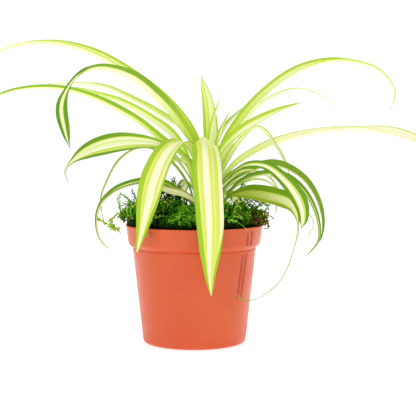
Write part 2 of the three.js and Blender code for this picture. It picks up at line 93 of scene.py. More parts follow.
def smooth_through(values, per_step):
    """A natural cubic spline through evenly spaced values, read at per_step places a step. The
    second differences solve the usual tridiagonal system with zero bend at both ends."""
    count = len(values)
    flat = values.reshape(count, -1)
    system = 4 * np.eye(count) + np.eye(count, k=1) + np.eye(count, k=-1)
    system[0, :2] = (1, 0)
    system[-1, -2:] = (0, 1)
    sides = np.zeros_like(flat)
    sides[1:-1] = 6 * (flat[2:] - 2 * flat[1:-1] + flat[:-2])
    bend = np.linalg.solve(system, sides)
    place = np.linspace(0, count - 1, (count - 1) * per_step + 1)
    index = np.minimum(place.astype(int), count - 2)
    after = (place - index)[:, None]
    before = 1 - after
    result = (before * flat[index] + after * flat[index + 1]
              + ((before**3 - before) * bend[index] + (after**3 - after) * bend[index + 1]) / 6)
    return result.reshape(-1, *values.shape[1:])


def axis_distance(points):
    """How far points are from the upright axis."""
    return np.hypot(points[..., 0], points[..., 1])


def middle_of(node):
    """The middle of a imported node's box, in millimetres."""
    low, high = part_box(node)
    return (np.array(low) + np.array(high)) / 2 / MM


# ---- Meshes ----

def grid_quads(rows, columns):
    """Quads of a grid of points counted row by row, whose last column is joined to its first."""
    start = np.arange(rows - 1)[:, None] * columns
    here = np.arange(columns)
    after = (here + 1) % columns
    corners = [start + here, start + after, start + columns + after, start + columns + here]
    return np.stack(corners, axis=-1).reshape(-1, 4)


def closed_tube(rings):
    """A closed surface through rings of points (rows, columns, 3), with a centre point that
    closes each end. Returns its points, quads and end triangles, and turns the faces over if
    the volume that they enclose is negative."""
    rows, columns, _ = rings.shape
    ends = [ring.mean(axis=0) for ring in (rings[0], rings[-1])]
    points = np.concatenate([rings.reshape(-1, 3), ends])
    quads = grid_quads(rows, columns)
    here = np.arange(columns)
    after = (here + 1) % columns
    last, centre = (rows - 1) * columns, np.full(columns, rows * columns)
    triangles = np.concatenate([np.stack([after, here, centre], axis=-1),
                                np.stack([last + here, last + after, centre + 1], axis=-1)])
    corners = np.concatenate([triangles, quads[:, :3], quads[:, [0, 2, 3]]])
    a, b, c = (points[corners[:, index]] for index in range(3))
    if np.einsum("ij,ij->", a, np.cross(b, c)) < 0:
        quads, triangles = quads[:, ::-1], triangles[:, ::-1]
    return points, quads, triangles


def repeated(faces, count, points):
    """The same faces for each of many alike shapes that have that many points."""
    faces = np.asarray(faces)
    return (faces + points * np.arange(count)[:, None, None]).reshape(-1, faces.shape[1])


def join_parts(parts):
    """Joins (points, quads, triangles) parts into one, renumbering their faces."""
    starts = np.cumsum([0] + [len(points) for points, _, _ in parts])
    faces = (np.concatenate([part[kind] + start for part, start in zip(parts, starts)])
             for kind in (1, 2))
    return np.concatenate([part[0] for part in parts]), *faces


def in_scene(name, data):
    """A new object in the scene for a mesh, a lamp or a camera."""
    new = bpy.data.objects.new(name, data)
    bpy.context.scene.collection.objects.link(new)
    return new


def solid(name, part):
    """A mesh object from its points, quads and triangles."""
    points, quads, triangles = part
    mesh = bpy.data.meshes.new(name)
    mesh.from_pydata(points.tolist(), [], quads.tolist() + triangles.tolist())
    return in_scene(name, mesh)


def new_piece(name, part, material, slot, node):
    """A smooth-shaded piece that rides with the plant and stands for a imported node."""
    piece = solid(name, part)
    piece.data.shade_smooth()
    piece.data.materials.append(material)
    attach(piece, "root")
    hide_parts(node)
    return piece


def numbers_of(rows, key, width=1, kind=float):
    """The numbers that a mesh's points, edges or corners hold, a row for each."""
    values = np.empty(len(rows) * width, dtype=kind)
    rows.foreach_get(key, values)
    return values.reshape(-1, width)


def add_numbers(piece, name, values):
    """Stores one number or one vector for each point of a piece."""
    kind, key = ("FLOAT", "value") if values.ndim == 1 else ("FLOAT_VECTOR", "vector")
    layer = piece.data.attributes.new(name, kind, "POINT")
    layer.data.foreach_set(key, np.ascontiguousarray(values, dtype=np.float32).ravel())


def add_map(piece, name, values):
    """Stores a flat map (across, along) for each point of a piece."""
    corners = numbers_of(piece.data.loops, "vertex_index", kind=np.int32)[:, 0]
    layer = piece.data.uv_layers.new(name=name)
    layer.data.foreach_set("uv", np.ascontiguousarray(values[corners], dtype=np.float32).ravel())


# ---- Material nodes ----

NUMBER, COLOUR, VECTOR = "NodeSocketFloat", "NodeSocketColor", "NodeSocketVector"
WHITE = (1, 1, 1, 1)


def shade(red, green, blue):
    """A screen colour of 0 to 255 as the linear colour that a shader takes."""
    screen = np.array([red, green, blue]) / 255
    linear = np.where(screen <= 0.04045, screen / 12.92, ((screen + 0.055) / 1.055) ** 2.4)
    return (*linear.tolist(), 1.0)


def fed(value):
    """Whether a value is another node's output rather than a plain one."""
    return isinstance(value, bpy.types.NodeSocket)


def put(value, socket):
    """Feeds a socket from another node's output, or sets it to a plain value."""
    if fed(value):
        socket.id_data.links.new(value, socket)
    else:
        socket.default_value = value


def wired(kind, inputs=(), output=0, tree=None, **settings):
    """One output of a new shader node with these inputs and settings. Where no tree is given,
    the node goes in the one that its inputs come from."""
    inputs = dict(inputs)
    tree = tree or next(value.id_data for value in inputs.values() if fed(value))
    node = tree.nodes.new("ShaderNode" + kind)
    for name, value in settings.items():
        setattr(node, name, value)
    for name, value in inputs.items():
        put(value, node.inputs[name])
    return node.outputs[output]


def calc(operation, *values):
    """A Math node's result."""
    return wired("Math", enumerate(values), operation=operation)


def times(first, second):
    """A product."""
    return calc("MULTIPLY", first, second)


def times_plus(first, second, third):
    """A product and a number added to it."""
    return calc("MULTIPLY_ADD", first, second, third)


def less(first, second):
    """A difference."""
    return calc("SUBTRACT", first, second)


def ease(value, low, high, bottom=0.0, top=1.0):
    """A smooth S from bottom to top as the value goes from low to high."""
    inputs = enumerate((value, low, high, bottom, top))
    return wired("MapRange", inputs, interpolation_type="SMOOTHSTEP")


def mix(share, first, second, mode="MIX"):
    """Two colours mixed by a share."""
    return wired("Mix", {0: share, 6: first, 7: second}, 2, data_type="RGBA", blend_type=mode)


def noise(place, scale, detail=2.0):
    """A noise texture's value, near 0.5."""
    return wired("TexNoise", {"Vector": place, "Scale": scale, "Detail": detail}, "Fac")


def split(vector):
    """The three parts of a vector."""
    return wired("SeparateXYZ", {0: vector}).node.outputs


def combine(*parts):
    """A vector from its three parts."""
    return wired("CombineXYZ", enumerate(parts))


def scaled(colour, share):
    """A colour times a number."""
    return mix(1.0, colour, combine(share, share, share), "MULTIPLY")


def stored(tree, name, output="Vector"):
    """An attribute that the piece's points carry."""
    return wired("Attribute", (), output, tree, attribute_name=name)


def object_place(tree):
    """The point's own place in metres."""
    return wired("TexCoord", (), "Object", tree)


def new_group(name, inputs, outputs):
    """An empty shader node group, and the sockets of its two ends. The sockets' names are given
    for each kind of socket, parted by commas."""
    group = bpy.data.node_groups.new(name, "ShaderNodeTree")
    for side, kinds in (("INPUT", inputs), ("OUTPUT", outputs)):
        for kind, labels in kinds.items():
            for label in labels.split(", "):
                group.interface.new_socket(name=label, in_out=side, socket_type=kind)
    start, end = (group.nodes.new("NodeGroup" + side) for side in ("Input", "Output"))
    return group, start.outputs, end.inputs


def place_group(tree, group, inputs):
    """A group in a material, with these inputs. Its colours are given as screen colours."""
    inputs = {name: shade(*value) if isinstance(value, tuple) else value
              for name, value in inputs.items()}
    return wired("Group", inputs, 0, tree, node_tree=group).node.outputs


def new_material(name, roughness, specular):
    """A material and its Principled shader's sockets, on which the constants sit."""
    material = bpy.data.materials.new(name)
    material.use_nodes = True
    shader = material.node_tree.nodes["Principled BSDF"].inputs
    shader["Roughness"].default_value = roughness
    shader["Specular IOR Level"].default_value = specular
    return material, material.node_tree, shader


def bump(shader, height, distance, strength):
    """Feeds the shader's normal from a height of 0 to 1 that stands for a depth in metres."""
    inputs = {"Strength": strength, "Distance": distance, "Height": height}
    put(wired("Bump", inputs, "Normal"), shader["Normal"])


def mottle_group():
    """Uneven tone: coarse and fine noise push a colour darker and lighter."""
    group, given, made = new_group(
        "mottled tone", {VECTOR: "Place", COLOUR: "Colour, Dark, Light",
                         NUMBER: "Patch Scale, Grain Scale, Amount"},
        {COLOUR: "Colour", NUMBER: "Grain"})
    patch = noise(given["Place"], given["Patch Scale"], 3)
    grain = noise(given["Place"], given["Grain Scale"])
    both = calc("ADD", times(patch, 0.6), times(grain, 0.4))
    colour = given["Colour"]
    for far, tone in ((0.32, "Dark"), (0.68, "Light")):
        colour = mix(times(ease(both, 0.5, far), given["Amount"]), colour, given[tone])
    put(colour, made["Colour"])
    put(grain, made["Grain"])
    return group


LEAF_COLOURS = "Margin, Margin Dark, Halo, Stripe, Middle, Young, Base, Tip"
DRY_TIP = (150, 112, 62)


def ribbon_group():
    """The banding of a ribbon leaf, read from each point's place: across -1 to 1, along 0 to 1,
    and 1 on the upper face. Green margins that are younger and more lime towards the base, and
    on some leaves along the left margin too, a lime halo inside them, and a cream middle, lime
    at the base, with up to three lengthwise bands and with stripes that come and go."""
    group, given, made = new_group(
        "ribbon leaf banding",
        {VECTOR: "Place, Metres, Look, Kind, Bands", NUMBER: "Widening", COLOUR: LEAF_COLOURS},
        {COLOUR: "Colour, Glow", NUMBER: "Veins, Gloss"})
    across, along, upper = split(given["Place"])
    length = split(given["Metres"])[1]
    margin, stripes, offset = split(given["Look"])
    seed, near, reach = split(given["Kind"])

    sway = noise(combine(times(across, 1.3), times(length, 22), seed), 1.0, 1)
    swing = less(sway, 0.5)
    late = ease(along, 0.6, 0.9)
    centred = less(across, times(offset, times_plus(late, -0.8, 1.0)))
    out = calc("ADD", calc("ABSOLUTE", centred), times(swing, 0.22))
    edge = less(ease(along, 0.02, 0.34, 0.8, 1.0), times_plus(given["Widening"], late, margin))
    past = less(out, edge)
    in_margin = ease(past, -0.05, 0.05)
    in_halo = ease(past, -0.22, -0.06)

    def streaks(across_times, along_times, extra, detail):
        sideways = times_plus(across, across_times, times(seed, 7.0))
        lengthways = times(length, along_times)
        return noise(combine(sideways, lengthways, calc("ADD", seed, extra)), 1.0, detail)

    level = times_plus(stripes, -0.2, 0.70)
    in_stripe = ease(less(streaks(9.0, 3.5, 0.0, 1.5), level), -0.02, 0.03)
    in_wash = times(ease(streaks(3.0, 4.0, 5.0, 1.0), 0.46, 0.66), times_plus(stripes, 0.35, 0.15))
    in_line = times(ease(streaks(19.0, 6.0, 9.0, 0.0), 0.62, 0.70), stripes)
    swayed = times_plus(swing, 0.14, across)
    first, second, third = (calc("ABSOLUTE", less(swayed, band)) for band in split(given["Bands"]))
    nearest = calc("MINIMUM", calc("MINIMUM", first, second), third)
    in_band = ease(nearest, 0.17, 0.08, 0.0, 0.9)
    fine = noise(combine(times(across, 26.0), times(length, 14.0), seed), 1.0)

    middle = given["Middle"]
    for share, tone in (
            (in_wash, "Halo"), (ease(along, 0.5, 0.18, 0.0, 0.95), "Stripe"), (in_band, "Stripe"),
            (in_stripe, "Stripe"), (in_line, "Stripe"), (times(in_halo, 0.85), "Halo")):
        middle = mix(share, middle, given[tone])
    green = mix(ease(fine, 0.35, 0.7), given["Margin"], given["Margin Dark"])
    young = ease(along, reach, times(reach, 0.35))
    nearer = times(near, ease(across, -0.1, -0.5))
    green = mix(calc("MAXIMUM", young, nearer), green, given["Young"])
    colour = mix(in_margin, middle, green)
    colour = mix(times(ease(along, 0.17, 0.02), 0.7), colour, given["Base"])
    # Painted light: the lower face is tinted a little towards the halo colour, to lift it where
    # less light falls on it.
    colour = mix(times(less(1.0, upper), 0.12), colour, given["Halo"])
    colour = scaled(colour, ease(fine, 0.2, 0.8, 0.93, 1.06))
    colour = mix(ease(times_plus(sway, 0.02, along), 0.992, 1.004), colour, given["Tip"])
    put(colour, made["Colour"])
    # Painted glow: the leaf's colour, weaker towards the base, standing in for light that comes
    # through the blade.
    put(scaled(colour, ease(along, 0.02, 0.2, 0.4, 1.0)), made["Glow"])
    ribs = calc("SINE", times(across, 60.0))
    put(times_plus(ribs, 0.25, times(fine, 0.9)), made["Veins"])
    put(ease(fine, 0.2, 0.8, 0.4, 0.56), made["Gloss"])
    return group


def strand_group():
    """The tone of a moss strand: its own tint from dark to lime, which also carries painted shade,
    with some strands dried brown.
    """
    group, given, made = new_group(
        "moss tone",
        {NUMBER: "Tint, Dry", VECTOR: "Place", COLOUR: "Deep, Mid, Bright, Lime, Brown"},
        {COLOUR: "Colour", NUMBER: "Grain"})
    grain = noise(given["Place"], 900.0)
    tint = times_plus(less(grain, 0.5), 0.25, given["Tint"])
    colour = given["Deep"]
    for low, high, tone in ((0.0, 0.4, "Mid"), (0.35, 0.75, "Bright"), (0.72, 1.0, "Lime")):
        colour = mix(ease(tint, low, high), colour, given[tone])
    put(mix(given["Dry"], colour, given["Brown"]), made["Colour"])
    put(grain, made["Grain"])
    return group


MOTTLE = mottle_group()
RIBBON = ribbon_group()
STRAND = strand_group()


def leaf_material(name, colours):
    """Ribbon leaf skin: banded colour, fine lengthwise veins, a soft gloss, and a painted glow: the
    leaf's own colour sent out as emission, standing in for the daylight that comes through a thin
    blade."""
    material, tree, shader = new_material(name, 0.45, 0.12)
    inputs = {label: stored(tree, label.lower()) for label in ("Place", "Look", "Kind", "Bands")}
    inputs["Widening"] = stored(tree, "widening", "Fac")
    inputs["Metres"] = wired("UVMap", tree=tree, uv_map="blade")
    inputs.update(zip(LEAF_COLOURS.split(", "), (*colours, DRY_TIP)))
    made = place_group(tree, RIBBON, inputs)
    put(made["Colour"], shader["Base Color"])
    put(made["Gloss"], shader["Roughness"])
    # The painted glow is emitted, though the leaf is no lamp.
    put(made["Glow"], shader["Emission Color"])
    shader["Emission Strength"].default_value = 0.2
    bump(shader, made["Veins"], 0.00012, 0.7)
    return material


def moss_material(name, deep, mid, bright, lime):
    """Moss strands, each with its own tint."""
    material, tree, shader = new_material(name, 0.8, 0.05)
    made = place_group(tree, STRAND, {
        "Tint": stored(tree, "tint", "Fac"), "Dry": stored(tree, "dry", "Fac"),
        "Place": object_place(tree), "Deep": deep, "Mid": mid, "Bright": bright, "Lime": lime,
        "Brown": (122, 74, 36)})
    put(made["Colour"], shader["Base Color"])
    bump(shader, made["Grain"], 0.0002, 0.6)
    return material


def mottled_material(name, colour, dark, light, patch, grain, amount, roughness, specular, depth):
    """A solid matter with uneven tone and a fine grain."""
    material, tree, shader = new_material(name, roughness, specular)
    made = place_group(tree, MOTTLE, {
        "Place": object_place(tree), "Colour": colour, "Dark": dark, "Light": light,
        "Patch Scale": patch, "Grain Scale": grain, "Amount": amount})
    put(made["Colour"], shader["Base Color"])
    bump(shader, made["Grain"], depth, 0.6)
    return material


def pot_material():
    """Terracotta-coloured moulded plastic: a faint mottle, fine moulding texture, a sheen that is a
    little duller in patches, and painted shade, a darker orange, in the moulding seams' grooves."""
    material, tree, shader = new_material("terracotta plastic", 0.34, 0.5)
    place = object_place(tree)
    made = place_group(tree, MOTTLE, {
        "Place": place, "Colour": (214, 86, 32), "Dark": (198, 72, 22), "Light": (226, 102, 46),
        "Patch Scale": 22.0, "Grain Scale": 700.0, "Amount": 0.45})
    # Painted shade: the seams' grooves are painted a darker orange.
    seam = times(stored(tree, "seam", "Fac"), 0.85)
    put(mix(seam, made["Colour"], shade(186, 62, 8)), shader["Base Color"])
    put(ease(noise(place, 60.0, 3), 0.3, 0.7, 0.3, 0.42), shader["Roughness"])
    bump(shader, made["Grain"], 0.00006, 0.5)
    return material


# ---- Pot ----

POT = SimpleNamespace(
    height=90, rim=52.5, collar=50.6, collar_foot=75.5, shoulder=72.9, body=47.4, base=39.8,
    wall=1.4, floor=1.8, drain_ring=24, drain_radius=3.5)
DRAIN_HOLES = 6
SEAM_BEARINGS = (-39.2, -33.8)  # at the shoulder
SEAM_LEAN = 0.085  # degrees for each millimetre below it
SEAM_DEPTH = 0.75
# Heights between which each length of seam rises out of the wall, and sinks back into it.
SEAM_SPANS = ((36, 40, 70, 71.5), (76.5, 77.5, 87, 88))
NUB_BEARING, NUB_HEIGHT, NUB_ROOM = 233, 84.6, 3


def rounded_line(corners, cuts):
    """A polyline with each corner rounded by a quadratic curve that starts and ends a cut away."""
    corners = np.asarray(corners, dtype=float)
    line = [corners[:1]]
    share = np.linspace(0, 1, CORNER_POINTS)[:, None]
    for before, corner, after, cut in zip(corners[:-2], corners[1:-1], corners[2:], cuts):
        start = corner + unit(before - corner) * cut
        end = corner + unit(after - corner) * cut
        line.append((1 - share) ** 2 * start + 2 * share * (1 - share) * corner + share**2 * end)
    line.append(corners[-1:])
    return np.concatenate(line)


def filled_line(line, step):
    """The same line with extra points, so that no two are further apart than the step allows at
    their height."""
    pieces = []
    for start, end in zip(line[:-1], line[1:]):
        count = max(1, math.ceil(np.linalg.norm(end - start) / step(start, end)))
        pieces.append(start + (end - start) * (np.arange(count) / count)[:, None])
    return np.concatenate(pieces + [line[-1:]])


def lathe(line, bearings):
    """Rings of a turned shape: each point (radius, height) of the line carried round the axis
    through the bearings. The line's two ends are on the axis and become the end points."""
    return round_axis(line[1:-1, 0][:, None], bearings, line[1:-1, 1][:, None])


def along_wall(places, bearing, radius):
    """How far places at some bearings are from one bearing, in degrees, as a distance along the
    wall at its radius."""
    return np.radians(np.abs((places - bearing + 180) % 360 - 180)) * radius


def on_outside(x, y, z):
    """Whether places on the pot's wall are on its outer side."""
    return np.hypot(x, y) > np.interp(z, [0, POT.shoulder, POT.collar_foot, POT.height],
                                      [POT.base, POT.body, POT.collar, POT.rim]) - 1.0


def seam_share(x, y, z):
    """How much of a place on the pot's wall is moulding seam, from 0 to 1."""
    reach = sum(ramp(z, *span[:2]) * (1 - ramp(z, *span[2:])) for span in SEAM_SPANS)
    share = np.zeros_like(z)
    for bearing in SEAM_BEARINGS:
        leaning = bearing + SEAM_LEAN * (np.minimum(z, 72) - 72)
        aside = along_wall(np.degrees(np.arctan2(y, x)), leaning, np.hypot(x, y))
        share = np.maximum(share, (1 - ramp(aside, 0.85, 1.5)) * reach)
    return np.where(on_outside(x, y, z), share, 0)


def pot_rings():
    """The pot's wall in millimetres, with a crease under the collar, its moulding seams as narrow
    grooves, and its nub as a smooth ring."""
    inner = lambda z: POT.base + (POT.body - POT.base) * z / POT.shoulder - POT.wall
    corners = [
        (0, 0), (POT.base - 0.4, 0), (POT.body - 0.1, 71.9), (POT.body - 0.45, 72.5),
        (POT.body + 0.35, 73.1), (POT.collar, POT.collar_foot), (POT.rim - 0.35, POT.height - 2.0),
        (POT.rim, POT.height - 1.5), (POT.rim, POT.height), (POT.rim - POT.wall, POT.height),
        (POT.collar - POT.wall, POT.collar_foot), (inner(72), 72), (inner(POT.floor), POT.floor),
        (0, POT.floor)]
    line = rounded_line(corners, (2.6, 0.2, 0.2, 0.2, 1.8, 0.3, 0.25, 0.4, 0.4, 0.8, 1.5, 1.5))

    def step(start, end):
        """Fine on the collar at the nub's height, and coarse elsewhere."""
        by_nub = abs((start[1] + end[1]) / 2 - NUB_HEIGHT) < NUB_ROOM
        return 0.3 if by_nub and min(start[0], end[0]) > 49 else 2.4

    around = [np.arange(0, 360, 2.5)]
    around += [bearing + np.arange(-5.4, 2.6, 0.2) for bearing in SEAM_BEARINGS]
    around.append(NUB_BEARING + np.arange(-2.6, 2.6, 0.2))
    bearings = np.unique(np.round(np.concatenate(around) % 360, 3))
    rings = lathe(filled_line(line, step), np.radians(bearings))
    x, y, z = np.moveaxis(rings, -1, 0)
    radius = np.hypot(x, y)
    away = np.hypot(along_wall(bearings, NUB_BEARING, radius), z - NUB_HEIGHT)
    rise = -SEAM_DEPTH * seam_share(x, y, z)
    rise += 0.5 * (1 - ramp(away, 1.5, 2.0)) - 0.4 * (1 - ramp(away, 0.5, 1.1))
    grown = 1 + np.where(on_outside(x, y, z), rise, 0) / radius
    return np.stack([x * grown, y * grown, z], axis=-1)


def make_pot(material):
    """The turned wall, less the drain holes."""
    pot = new_piece("pot_shell", closed_tube(pot_rings() * MM), material, "pot", "pot")
    ring = round_axis(POT.drain_radius, full_turn(24), 0)
    holes = []
    for index in range(DRAIN_HOLES):
        centre = round_axis(POT.drain_ring, (index + 0.5) / DRAIN_HOLES * TURN, 0)
        holes.append(closed_tube(np.stack([ring + centre + (0, 0, z) for z in (-3, 4)]) * MM))
    drill = solid("drills", join_parts(holes))
    cut = pot.modifiers.new("drain holes", "BOOLEAN")
    cut.operation, cut.object, cut.solver = "DIFFERENCE", drill, "EXACT"
    seen = pot.evaluated_get(bpy.context.evaluated_depsgraph_get())
    drilled = bpy.data.meshes.new_from_object(seen)
    pot.modifiers.clear()
    pot.data = drilled
    drilled.name = "pot_shell"
    drilled.set_sharp_from_angle(angle=math.radians(45))
    # The seam share is kept as the mask for the painted shade in the grooves.
    add_numbers(pot, "seam", seam_share(*(numbers_of(drilled.vertices, "co", 3) / MM).T))
    bpy.data.objects.remove(drill)


# ---- Soil, crown and bark ----

def soil_height(radius):
    """The mound's height in millimetres, falling evenly from the axis to the rim."""
    return 87 - 4 * radius / POT.rim


def crumbs(count, seed):
    """Soil crumbs: icosahedra squashed and turned at random, strewn over the mound."""
    draw = np.random.default_rng(seed)
    golden = (1 + 5**0.5) / 2
    ball = unit(np.array([(-1, golden, 0), (1, golden, 0), (-1, -golden, 0), (1, -golden, 0),
                          (0, -1, golden), (0, 1, golden), (0, -1, -golden), (0, 1, -golden),
                          (golden, 0, -1), (golden, 0, 1), (-golden, 0, -1), (-golden, 0, 1)]))
    close = np.linalg.norm(ball[:, None] - ball[None], axis=2) < 1.1
    faces = np.array([face for face in combinations(range(12), 3)
                      if close[np.ix_(face, face)].all()])
    out = np.einsum("ij,ij->i", ball[faces[:, 0]], np.cross(ball[faces[:, 1]], ball[faces[:, 2]]))
    faces[out < 0] = faces[out < 0][:, ::-1]
    turn = np.linalg.qr(draw.normal(size=(count, 3, 3)))[0]
    turn[np.linalg.det(turn) < 0] *= -1
    size = draw.uniform(0.5, 1.7, (count, 1, 1)) * draw.uniform(0.5, 1.3, (count, 1, 3))
    shapes = ball * (1 + 0.25 * draw.normal(size=(count, 12, 1))) * size
    radius = 48.5 * np.sqrt(draw.uniform(0.02, 1, count))
    angle = draw.uniform(0, TURN, count)
    centre = round_axis(radius, angle, soil_height(radius) + draw.uniform(-0.2, 0.9, count))
    points = (np.einsum("nij,nkj->nki", turn, shapes) + centre[:, None]).reshape(-1, 3) * MM
    return points, np.zeros((0, 4), dtype=int), repeated(faces, count, len(ball))


def make_soil(material):
    """The root ball: a turned form with a rough top, under strewn crumbs."""
    line = np.array([(0, 2.1), (38.2, 2.1), (45.4, 71.9), (48.9, 75.8), (49.2, soil_height(49.2)),
                     (0, soil_height(0))])
    line = filled_line(line, lambda start, end: 1.3 if min(start[1], end[1]) > 82 else 5)
    rings = lathe(line, full_turn(120))
    top = ramp(rings[..., 2], 82, 83)
    lumps = rough(rings, 9, 3) * 0.5 + rough(rings, 3.2, 4) * 0.35
    rings[..., 2] += top * lumps * ramp(49.5 - axis_distance(rings), 0, 2)
    part = join_parts([closed_tube(rings * MM), crumbs(620, 11)])
    new_piece("soil_surface", part, material, "soil", "soil")


def make_crown(material):
    """The stub that the leaves grow from: a turned form with lengthwise ridges."""
    corners = [(0, 79.2), (9.9, 79.2), (10, 99), (4, 116), (1.9, 121), (0, 121)]
    around = full_turn(48)
    line = rounded_line(corners, (1.5, 5, 3, 1))
    rings = lathe(filled_line(line, lambda start, end: 1.5), around)
    ridge = 1 - 0.05 * (0.5 + 0.5 * np.cos(9 * around + rings[..., 2] * 0.05)) ** 2
    rings[..., :2] = rings[..., :2] * ridge[..., None] + middle_of("crown")[:2]
    new_piece("crown_stub", closed_tube(rings * MM), material, "crown", "crown")


def make_bark(material):
    """A fibrous chip: an ellipsoid in rings, split by lengthwise grooves."""
    slope = np.linspace(0, math.pi, 26)[1:-1, None]
    ball = np.roll(round_axis(np.sin(slope), full_turn(40), -np.cos(slope)), 1, axis=-1)
    groove = rough(ball * (3, 14, 14), 6, 21) * 0.12 + rough(ball * 6, 3, 22) * 0.06
    chip = ball * (1 + groove[..., None]) * (7.8, 3.2, 2.6)
    bearing = math.radians(110)
    turn = np.eye(3)
    turn[:2, :2] = [(math.cos(bearing), -math.sin(bearing)), (math.sin(bearing), math.cos(bearing))]
    part = closed_tube((chip @ turn.T + middle_of("bark_chip")) * MM)
    new_piece("bark_piece", part, material, "bark", "bark_chip")


# ---- Leaves ----

BLADE_THICKNESS = 1.0 * MM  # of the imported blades
SKIN, KEEL = 0.42 * MM, 0.3 * MM  # of the leaf that shows
ROWS_PER_STATION = 5
ACROSS = 15
SOFT_FOLD = 0.3
NEAR_ENOUGH = 0.02 * MM
FIRST_LEAF_SEED, FIRST_MOSS_SEED = 100, 500


def steps_from(seeds, edges, count):
    """How many edges away from the nearest seed each of a mesh's points is."""
    away = np.full(count, -1)
    away[seeds] = 0
    both_ways = np.concatenate([edges, edges[:, ::-1]])
    while (away < 0).any():
        reached = (away[both_ways[:, 0]] >= 0) & (away[both_ways[:, 1]] < 0)
        away[both_ways[reached, 1]] = away.max() + 1
    return away


def leaf_rails(node):
    """The left margin, midrib and right margin of a packed blade, from its base to its tip. The
    blade's corners lie in rings of six along its length, in three pairs that are one blade
    thickness apart: rings are counted along the edges from the tip, which is the end furthest
    from the crown, and the pairs all point the same way, square to the blade. The upper face is
    the hollow side of the fold at the base, and turns by less than a quarter turn from ring to
    ring."""
    joined = bmesh.new()
    joined.from_mesh(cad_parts[node].data)
    bmesh.ops.remove_doubles(joined, verts=joined.verts, dist=NEAR_ENOUGH)
    mesh = bpy.data.meshes.new("joined")
    joined.to_mesh(mesh)
    joined.free()
    points = numbers_of(mesh.vertices, "co", 3)
    edges = numbers_of(mesh.edges, "vertices", 2, np.int32)
    bpy.data.meshes.remove(mesh)

    base = np.argmin(np.linalg.norm(points - middle_of("crown") * MM, axis=1))
    tip = np.argmax(steps_from([base], edges, len(points)))
    around_tip = np.argsort(np.linalg.norm(points - points[tip], axis=1))[:6]
    ring = steps_from(around_tip, edges, len(points))
    rings = np.stack([points[ring == step] for step in range(ring.max(), -1, -1)])

    along = unit(np.gradient(rings.mean(axis=1), axis=0))
    rails, before = [], None
    for corners, forward in zip(rings, along):
        offset = corners[None] - corners[:, None]
        apart = np.linalg.norm(offset, axis=2)
        rows, columns = np.nonzero(np.abs(apart - BLADE_THICKNESS) < NEAR_ENOUGH)
        steps = offset[rows, columns]
        alike = (np.linalg.norm(steps[:, None] - steps[None], axis=2) < 0.05 * MM).sum(axis=1)
        face = steps[np.argmax(alike)]
        lower = rows[np.linalg.norm(steps - face, axis=1) < 0.05 * MM]
        centres = corners[lower] + face / 2
        spans = np.linalg.norm(centres[:, None] - centres[None], axis=2)
        first, last = np.unravel_index(np.argmax(spans), spans.shape)
        rib = 3 - first - last
        rise = (centres[first] + centres[last]) / 2 - centres[rib]
        face = face if face @ (rise if before is None else before) > 0 else -face
        before = face
        if np.cross(forward, face) @ (centres[first] - centres[last]) < 0:
            first, last = last, first
        rails.append(centres[[first, rib, last]])
    return np.array(rails)


def leaf_surface(node, seed):
    """A thin closed blade on its three rails: across it, each point goes from the midrib towards
    its margin, rising on a rounded V (the root of the distance squared plus a small square).
    The margins ripple a little, and both faces draw together at the margins and the tip.
    Returns it with each point's place (across, along, on the upper face) and its place in
    metres."""
    draw = np.random.default_rng(seed)
    rails = smooth_through(leaf_rails(node), ROWS_PER_STATION)
    left, rib, right = (rails[:, [index]] for index in range(3))
    chord, lift = (right - left) / 2, (right + left) / 2 - rib
    share = np.linspace(0, 1, len(rails))
    run = np.concatenate([[0], np.cumsum(np.linalg.norm(np.diff(rib[:, 0], axis=0), axis=1))])
    half = np.linalg.norm(chord[:, 0], axis=1)
    forward = unit(np.gradient(rib[:, 0], axis=0))[:, None]
    face = unit(np.cross(forward, unit(chord)))

    across = np.linspace(-1, 1, ACROSS)
    across = 0.5 * np.sin(across * math.pi / 2) + 0.5 * across
    vee = np.sqrt(across**2 + SOFT_FOLD**2) - SOFT_FOLD
    vee /= math.sqrt(1 + SOFT_FOLD**2) - SOFT_FOLD
    vee += 0.08 * np.sin(np.abs(across) * math.pi)
    sharpen = 0.12 + 0.88 * np.clip((1 - share[:, None]) / 0.04, 0, 1) ** 0.7
    blade = rib + (chord * across[:, None] + lift * vee[:, None]) * sharpen[..., None]
    phase = draw.uniform(0, TURN, 4)
    side = np.sign(across)
    ripple = (np.sin(run[:, None] / 0.021 + phase[0] + 1.3 * side * phase[1])
              + 0.6 * np.sin(run[:, None] / 0.0083 + phase[2] + side * phase[3]))
    ripple *= across**2 * (half * 0.035)[:, None] * ramp(share, 0.05, 0.3)[:, None]
    blade = blade + face * ripple[..., None]

    skin = SKIN * (1 - 0.55 * across**2) * (0.35 + 0.65 * sharpen)
    keel = KEEL * np.exp(-((across / 0.14) ** 2)) * np.minimum(half / (4 * MM), 1)[:, None]
    top = blade + face * (skin / 2)[..., None]
    under = blade - face * (skin / 2 + keel * sharpen)[..., None]
    part = closed_tube(np.concatenate([top, under[:, ::-1]], axis=1))

    both, upper = np.concatenate([across, across[::-1]]), np.repeat([1.0, 0.0], ACROSS)
    place = np.stack(np.broadcast_arrays(both, share[:, None], upper), axis=-1).reshape(-1, 3)
    metres = np.stack(np.broadcast_arrays(both * half[:, None], run[:, None]), axis=-1)
    return (part, np.concatenate([place, [(0, 0, 0.5), (0, 1, 0.5)]]),
            np.concatenate([metres.reshape(-1, 2), [(0, 0), (0, run[-1])]]))


